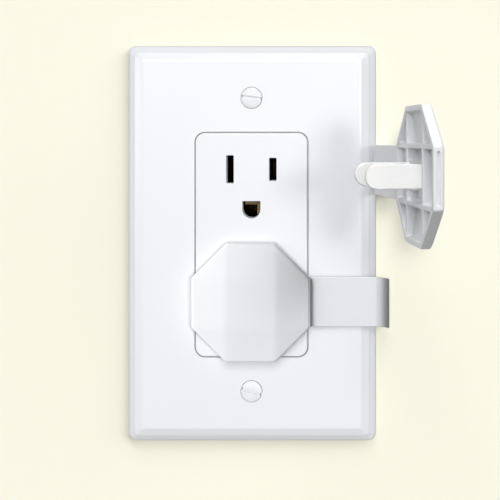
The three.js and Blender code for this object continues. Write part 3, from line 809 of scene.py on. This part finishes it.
def cap_shell(name):
    """The hollow cap in its own frame, with ribs that line up with the creases of its front."""
    shell = cap_outside(name)
    inside = octagon(CAP_ACROSS - 2 * CAP_WALL, CAP_SIDE - 2 * CAP_WALL * math.tan(math.pi / 8))
    step = mouth(inside, INSIDE_CORNER, POCKET["lip"], 0.0, -1)
    step.append(ring(softened(inside, INSIDE_CORNER), -RIB_DROP))
    combined(shell, [loft("cutter", step)])
    combined(shell, [pocket(corners) for corners in pocket_outlines()])
    combined(shell, [prong_block(end) for end in (1, -1)], "UNION")
    return combined(shell, [prong_hole(end) for end in (1, -1)] + [finger_grip()])


def prong(name, x):
    """A flat prong with a full round end and soft edges."""
    width, thick, root = PRONG["width"], PRONG["thick"], PRONG["root"]
    tip = PRONG["length"] - width / 2
    angles = [-math.pi / 2 + math.pi * k / 20 for k in range(21)]

    def prong_ring(distance, level):
        radius = width / 2 - distance
        outline = [(-root + distance, -radius)]
        outline += [(tip + radius * math.cos(a), radius * math.sin(a)) for a in angles]
        outline.append((-root + distance, radius))
        return [(x + level, y, z) for y, z in outline]

    rims = quarter(PRONG["edge"], 4)
    left = [prong_ring(i, -thick / 2 + d) for i, d in reversed(rims)]
    right = [prong_ring(i, thick / 2 - d) for i, d in rims]
    return loft(name, left + right)


def cap(level, place):
    """The upper or lower cap, with its two prongs."""
    shell = moved(cap_shell(f"{level}_cap_cover"), place)
    finished(shell, "cap", f"{level}_cap", [f"{level}_cap_shell"], sharp=26)
    for side, x in (("left", -BLADE_PITCH / 2), ("right", BLADE_PITCH / 2)):
        node = f"{level}_cap_prong_{side}"
        finished(moved(prong(node + "_body", x), place), "prong", f"{level}_cap", [node])


# ---------------------------------------------------------------- straps


def sweep(name, path, thick=STRAP_THICK, skew=None):
    """A flat band along a path of (x, y) points, with rounded edges and ends.

    Skew gives how far the band is moved along Z at a point of the path.
    """
    section = softened(rectangle(thick, STRAP_WIDTH), STRAP_EDGE, 4)
    last = len(path) - 1
    rings = []
    for i, here in enumerate(path):
        before, after = Vector(path[max(i - 1, 0)]), Vector(path[min(i + 1, last)])
        along = (after - before).normalized()
        at_end = i in (0, last)
        across = Vector((-along.y, along.x)) * (STRAP_END["thinner"] if at_end else 1.0)
        narrower = STRAP_END["narrower"] if at_end else 1.0
        aside = skew(here) if skew else 0.0
        points = []
        for offset, z in section:
            x, y = here[0] + across.x * offset, here[1] + across.y * offset
            points.append((x, y, z * narrower + aside))
        rings.append(points)
    return loft(name, rings)


def straight(start, end, step=0.5):
    """Points along a line, with two close together at each end for the rounded edge."""
    a, b = Vector(start), Vector(end)
    length = (b - a).length
    count = max(int(length / step), 2)
    gap = STRAP_END["gap"] / length
    shares = [0.0, gap] + [k / count for k in range(1, count)] + [1 - gap, 1.0]
    return [tuple(a.lerp(b, share)) for share in shares]


def hook(node, name, hinge, skew=0.0):
    """The half turn round the plate's edge, with its tail and locking bar behind the plate."""
    radius = HOOK_OUTER - STRAP_THICK / 2
    x, y = hinge.x + HOOK_RUN, hinge.y + HOOK_OUTER
    left = hinge.x - HOOK_TAIL
    tail = straight((left, y + radius), (x, y + radius))[:-2]
    angles = [math.pi / 2 - math.pi * k / 40 for k in range(41)]
    turn = [(x + radius * math.cos(a), y + radius * math.sin(a)) for a in angles]
    run = straight((x, y - radius), (hinge.x + 2 * OFF_PLANE, y - radius), 0.3)[2:]

    def aside(point):
        return -skew * min(max(point[1] - hinge.y, 0.0), HOOK_OUTER)

    band = sweep(name, tail + turn + run, skew=aside)
    back = y + HOOK_OUTER
    half = HOOK_BAR["width"] / 2
    low = (left - 2 * OFF_PLANE, back - HOOK_BAR["thick"], -half)
    high = (left + HOOK_BAR["length"], back - OFF_PLANE, half)
    combined(band, [soft_box("bar", low, high, HOOK_BAR["edge"])], "UNION")
    shifted(band, hinge.z)
    finished(band, "strap", "outlet", [node])


def lower_tether():
    """The plugged cap and its strap, which lies flat over the plate."""
    hinge = LOWER_HINGE
    hook("lower_strap_hook", "lower_hook_band", hinge, HOOK_SKEW)
    y = hinge.y + STRAP_THICK / 2
    start, end = (hinge.x, y), (CAP_ACROSS / 2 - LOWER_OVERLAP, y)
    band = shifted(sweep("lower_strap_band", straight(start, end)), hinge.z)
    finished(band, "strap", stands_for=["lower_strap"])
    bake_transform(band)
    cap("lower", Matrix.Translation((0, hinge.y + STRAP_THICK, hinge.z)))


def folded(begin, control, end):
    """Points along the curve of a fold."""
    steps = 14
    points = []
    for k in range(steps + 1):
        share = k / steps
        points.append(tuple(begin.lerp(control, share).lerp(control.lerp(end, share), share)))
    return points


def upper_tether():
    """The open cap, swung out on its strap."""
    hinge, neck = UPPER_HINGE, UPPER_NECK
    reach = (CAP_ACROSS + NECK_GAP) / 2
    half = STRAP_THICK / 2
    swing = math.atan2(neck.y - hinge.y, neck.x - hinge.x) - math.atan2(half, reach - hinge.x)
    along = Vector((-math.cos(swing), -math.sin(swing)))
    hook("upper_strap_hook", "upper_hook_band", hinge)

    # The strap folds at its hinge line with a small radius, and runs straight to the neck.
    begin = Vector((hinge.x, hinge.y + half))
    line = hinge.xy + (Matrix.Rotation(swing, 4, "Z") @ Vector((0, half, 0))).xy
    fold_end = line + along * FOLD["length"]
    fold = folded(begin, begin - Vector((FOLD["lead"], 0)), fold_end)
    path = fold[:-1] + straight(fold_end, line + along * (hinge.x - reach))
    band = shifted(sweep("upper_strap_band", path), hinge.z)
    finished(band, "strap", stands_for=["upper_strap"])
    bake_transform(band)

    place = Matrix.Translation(neck) @ Matrix.Rotation(swing + OPEN_BEND, 4, "Z")
    place = place @ Matrix.Translation((-reach, half, 0))
    begin = neck.xy - along * NECK["overlap"]
    end = (place @ Vector((CAP_ACROSS / 2 - NECK["into_cap"], -half, 0))).xy
    path = straight(begin, end, 0.2)
    link = shifted(sweep("upper_neck_band", path, STRAP_THICK * NECK["thinner"]), hinge.z)
    finished(link, "strap")
    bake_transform(link)
    cap("upper", place)


wall_plate()
plate_screw("plate_screw_upper", 6)
plate_screw("plate_screw_lower", 17)
receptacle()
lower_tether()
upper_tether()

# ---------------------------------------------------------------- stage, light and camera (m)

CAMERA_DISTANCE = 0.240
CAMERA_ASIDE = 0.016
CAMERA_ABOVE = 0.0315
FOCAL = 56.85
SHIFT = {"shift_x": -0.1106, "shift_y": -0.2226}
AT_REST = 0.0005  # how near its own place the camera counts as not moved
IN_FRONT = -0.15  # a camera nearer the wall than this, or behind it, doesn't see the wall

WALL_REACH = 0.6
WALL_CLEAR = 0.0004  # round the part of the receptacle that goes through the wall
FLOOR_LEVEL = -0.3
FLOOR_REACH = 12.0
WALL_PAINT = ((0.93, 0.922, 0.77), (0.94, 0.932, 0.785))
FLOOR_GREY = ((0.84, 0.84, 0.82), (0.87, 0.87, 0.85))
AMBIENT = (0.09, 0.09, 0.092)
BACKDROP = (0.86, 0.86, 0.84)


def flat(name, corners, faces):
    mesh = bpy.data.meshes.new(name)
    mesh.from_pydata(corners, [], faces)
    made = bpy.data.objects.new(name, mesh)
    bpy.context.scene.collection.objects.link(made)
    return made


def driven(owner, path, expression, watched):
    """Ties a value to an expression of y, the camera's place along Y."""
    driver = owner.driver_add(path).driver
    driver.type = "SCRIPTED"
    variable = driver.variables.new()
    variable.name = "y"
    variable.type = "TRANSFORMS"
    variable.targets[0].id = watched
    variable.targets[0].transform_type = "LOC_Y"
    variable.targets[0].transform_space = "WORLD_SPACE"
    driver.expression = expression


def camera():
    data = bpy.data.cameras.new("camera")
    data.lens = FOCAL
    data.sensor_width = 36
    data.clip_start = 0.01
    made = bpy.data.objects.new("camera", data)
    bpy.context.scene.collection.objects.link(made)
    made.location = (CAMERA_ASIDE, -CAMERA_DISTANCE, CENTRE.z * MM + CAMERA_ABOVE)
    made.rotation_euler = (math.pi / 2, 0, 0)
    # The lens shift belongs to the straight-on view only, so it goes when the camera is moved.
    for path, value in SHIFT.items():
        driven(data, path, f"{value} * (abs(y + {CAMERA_DISTANCE}) < {AT_REST})", made)
    bpy.context.scene.camera = made
    return made


def wall(view):
    """The wall behind the plate. It is there only for views from the front."""
    far = WALL_REACH
    side, bottom, top = FACE_HIGH.x * MM + WALL_CLEAR, FACE_LOW.z * MM, FACE_HIGH.z * MM
    outer = [(-far, 0, FLOOR_LEVEL), (far, 0, FLOOR_LEVEL), (far, 0, far), (-far, 0, far)]
    inner = [(-side, 0, bottom), (side, 0, bottom), (side, 0, top), (-side, 0, top)]
    made = flat("wall", outer + inner, [(k, (k + 1) % 4, 4 + (k + 1) % 4, 4 + k) for k in range(4)])
    nodes = Nodes("wall_paint")
    tone = nodes.between(nodes.noise(WALL_TONE, 3.0), 0.0, 1.0)
    paint = nodes.mix(tone, *(rgb(*each) for each in WALL_PAINT))
    nodes.bump(nodes.noise(WALL_ROLLER, 6.0, 0.6), 0.04, 0.0003)
    nodes.finish(Base_Color=nodes.held_back(paint, 0.3), Roughness=0.75)
    shown = nodes.add("ShaderNodeValue").outputs[0]
    driven(shown, "default_value", f"y < {IN_FRONT}", view)
    see_through = nodes.add("ShaderNodeBsdfTransparent").outputs[0]
    mix = nodes.add("ShaderNodeMixShader", {0: shown, 1: see_through, 2: nodes.shader.outputs[0]})
    nodes.set(nodes.tree.nodes["Material Output"].inputs["Surface"], mix.outputs[0])
    made.data.materials.append(nodes.material)


def floor():
    corners = [(x, y, FLOOR_LEVEL) for x, y in rectangle(2 * FLOOR_REACH, 2 * FLOOR_REACH)]
    made = flat("floor", corners, [(0, 1, 2, 3)])
    nodes = Nodes("pale_floor")
    tone = nodes.between(nodes.noise(FLOOR_TONE, 3.0), 0.0, 1.0)
    pale = nodes.mix(tone, *(rgb(*each) for each in FLOOR_GREY))
    nodes.finish(Base_Color=nodes.held_back(pale, 0.2), Roughness=0.8)
    made.visible_shadow = False
    made.data.materials.append(nodes.material)


def surroundings():
    """A pale backdrop for the camera, which lights the pieces only dimly."""
    world = bpy.data.worlds.new("studio")
    world.use_nodes = True
    tree = world.node_tree
    background = tree.nodes["Background"]
    background.inputs["Color"].default_value = rgb(*AMBIENT)
    seen = tree.nodes.new("ShaderNodeBackground")
    seen.inputs["Color"].default_value = rgb(*BACKDROP)
    path = tree.nodes.new("ShaderNodeLightPath")
    mix = tree.nodes.new("ShaderNodeMixShader")
    tree.links.new(path.outputs["Is Camera Ray"], mix.inputs[0])
    tree.links.new(background.outputs[0], mix.inputs[1])
    tree.links.new(seen.outputs[0], mix.inputs[2])
    tree.links.new(mix.outputs[0], tree.nodes["World Output"].inputs["Surface"])
    bpy.context.scene.world = world


def light_group(name, pieces):
    """The only objects that a light reaches."""
    group = bpy.data.collections.new(name)
    for each in pieces:
        group.objects.link(bpy.data.objects[each])
    for entry in group.collection_objects:
        entry.light_linking.link_state = "INCLUDE"
    return group


def sun(name, towards, share, spread, reach=None):
    """A soft distant light. Share is the brightness it gives a white surface that faces it."""
    data = bpy.data.lights.new(name, "SUN")
    data.energy = share * math.pi
    data.angle = math.radians(spread)
    made = bpy.data.objects.new(name, data)
    bpy.context.scene.collection.objects.link(made)
    made.rotation_mode = "QUATERNION"
    made.rotation_quaternion = Vector(towards).to_track_quat("-Z", "Y")
    if reach:
        made.light_linking.receiver_collection = reach


# Where each light shines.
FROM_FRONT = (0.0, 1.0, 0.0)
NEAR_FRONT = (0.07, 0.98, -0.17)
FROM_LEFT = (0.87, 0.5, 0.0)
FROM_RIGHT = (-0.44, 0.89, -0.1)
FROM_ABOVE = (0.0, 0.5, -0.87)
FROM_UPPER_LEFT = (0.5, 0.7, -0.5)
FROM_UPPER_RIGHT = (-0.5, 0.7, -0.5)
HIGH_FROM_FRONT = (0.0, 0.75, -0.66)
LOW_FROM_RIGHT = (-0.75, 0.55, -0.36)
FROM_BEHIND = (-0.3, -0.8, -0.5)

OPEN_PRONGS = ["upper_cap_prong_left_body", "upper_cap_prong_right_body"]
OPEN_TETHER = ["upper_cap_cover", "upper_strap_band", "upper_neck_band", "upper_hook_band"]
LIT_TOGETHER = {
    "outlet": [
        "wall_plate_body", "receptacle_face_body", "plate_screw_upper_body", "plate_screw_lower_body",
    ],
    "wall": ["wall"],
    "floor": ["floor"],
    "plugged_cap": ["lower_cap_cover"],
    "lower_strap": ["lower_strap_band"],
    "lower_hook": ["lower_hook_band"],
    "open_cap": OPEN_TETHER + OPEN_PRONGS,
    "open_prongs": OPEN_PRONGS,
}
LIGHTS = [  # (the group it reaches, where it shines, its brightness, its spread in degrees)
    ("wall", FROM_ABOVE, 0.34, 30),
    ("wall", LOW_FROM_RIGHT, 0.6, 50),
    ("wall", NEAR_FRONT, 0.41, 12),
    ("floor", FROM_ABOVE, 0.7, 30),
    ("outlet", FROM_FRONT, 0.4, 60),
    ("outlet", FROM_LEFT, 0.16, 25),
    ("outlet", FROM_RIGHT, 0.23, 12),
    ("outlet", HIGH_FROM_FRONT, 0.36, 30),
    ("plugged_cap", FROM_LEFT, 1.01, 25),
    ("plugged_cap", FROM_UPPER_RIGHT, 0.55, 25),
    ("lower_strap", FROM_LEFT, 0.6, 60),
    ("lower_strap", FROM_UPPER_LEFT, 0.79, 25),
    ("lower_hook", FROM_LEFT, 0.6, 25),
    ("lower_hook", FROM_UPPER_LEFT, 0.5, 25),
    ("open_cap", FROM_FRONT, 0.23, 40),
    ("open_cap", FROM_UPPER_LEFT, 0.26, 25),
    ("open_cap", FROM_ABOVE, 0.6, 30),
    ("open_cap", LOW_FROM_RIGHT, 0.19, 40),
    ("open_prongs", FROM_FRONT, 0.17, 40),
]


def lights():
    """Each group of pieces has its own soft lights. Only the light from behind reaches them all."""
    groups = {name: light_group("lit_" + name, pieces) for name, pieces in LIT_TOGETHER.items()}
    for i, (group, towards, share, spread) in enumerate(LIGHTS):
        sun(f"{group}_light_{i}", towards, share, spread, groups[group])
    sun("behind_light", FROM_BEHIND, 0.5, 40)


view = camera()
wall(view)
floor()
surroundings()
lights()

bpy.context.scene.view_settings.view_transform = "Standard"
bpy.context.scene.view_settings.look = "None"
